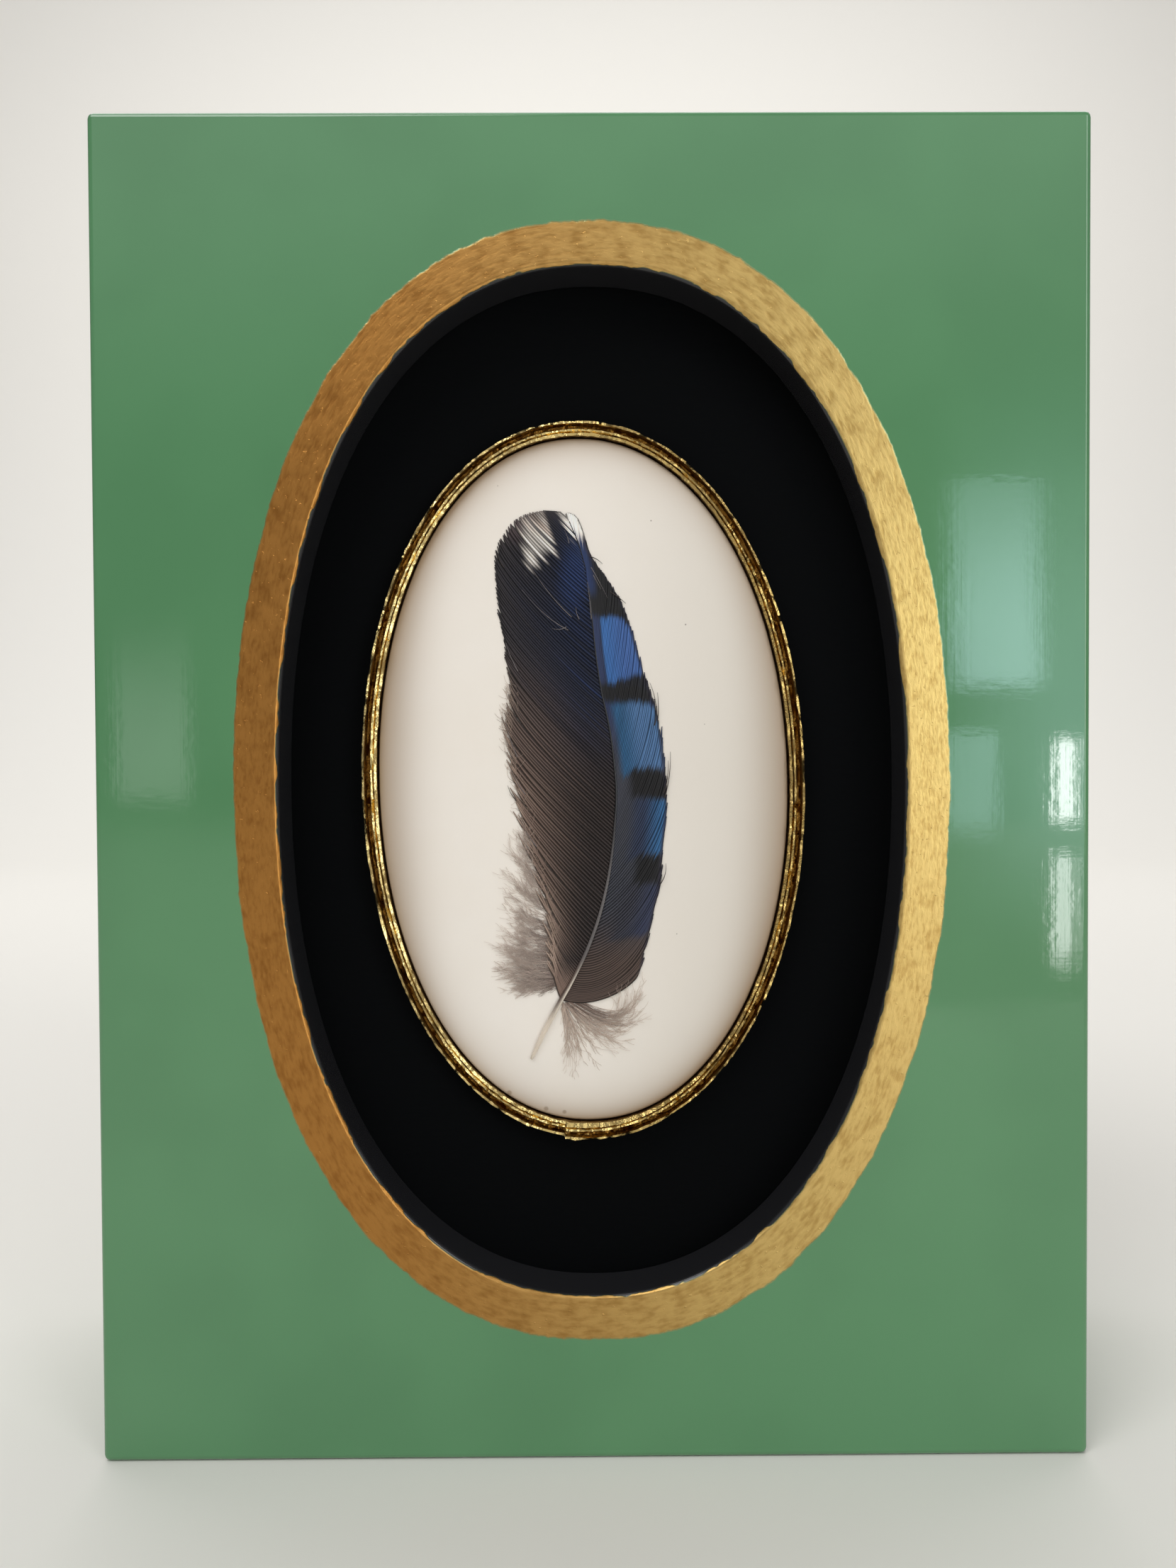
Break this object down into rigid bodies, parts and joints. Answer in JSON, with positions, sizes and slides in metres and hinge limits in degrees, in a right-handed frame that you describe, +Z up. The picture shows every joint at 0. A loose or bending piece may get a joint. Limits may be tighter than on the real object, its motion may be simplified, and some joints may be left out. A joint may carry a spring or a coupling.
{
  "type": "framed feather",
  "caption": "Barred blue wing feather on a domed white oval plaque with a gilt border, set in the oval recess of a green lacquered box frame that stands or hangs.",
  "frame": {"origin": "middle of the box's flat base", "axes": "+Z up along the height of the box, -Y out of the window, +X to the right as seen from the front"},
  "size_m": [0.089, 0.033, 0.1205],
  "materials": {
    "lacquered_wood": "gloss green lacquer, with a hand-painted gold band round the window and black inside it",
    "black_board": "matt black",
    "white_plaque": "smooth matt ivory white",
    "gilt_foil": "pressed and crinkled gilt foil",
    "feather": "barred blue and black-brown barbs, white tip, grey down"
  },
  "bodies": {
    "root": {"frame_box": "lacquered_wood", "backing_board": "black_board", "plaque": "white_plaque", "gilt_border": "gilt_foil", "feather": "feather"}
  },
  "joints": []
}
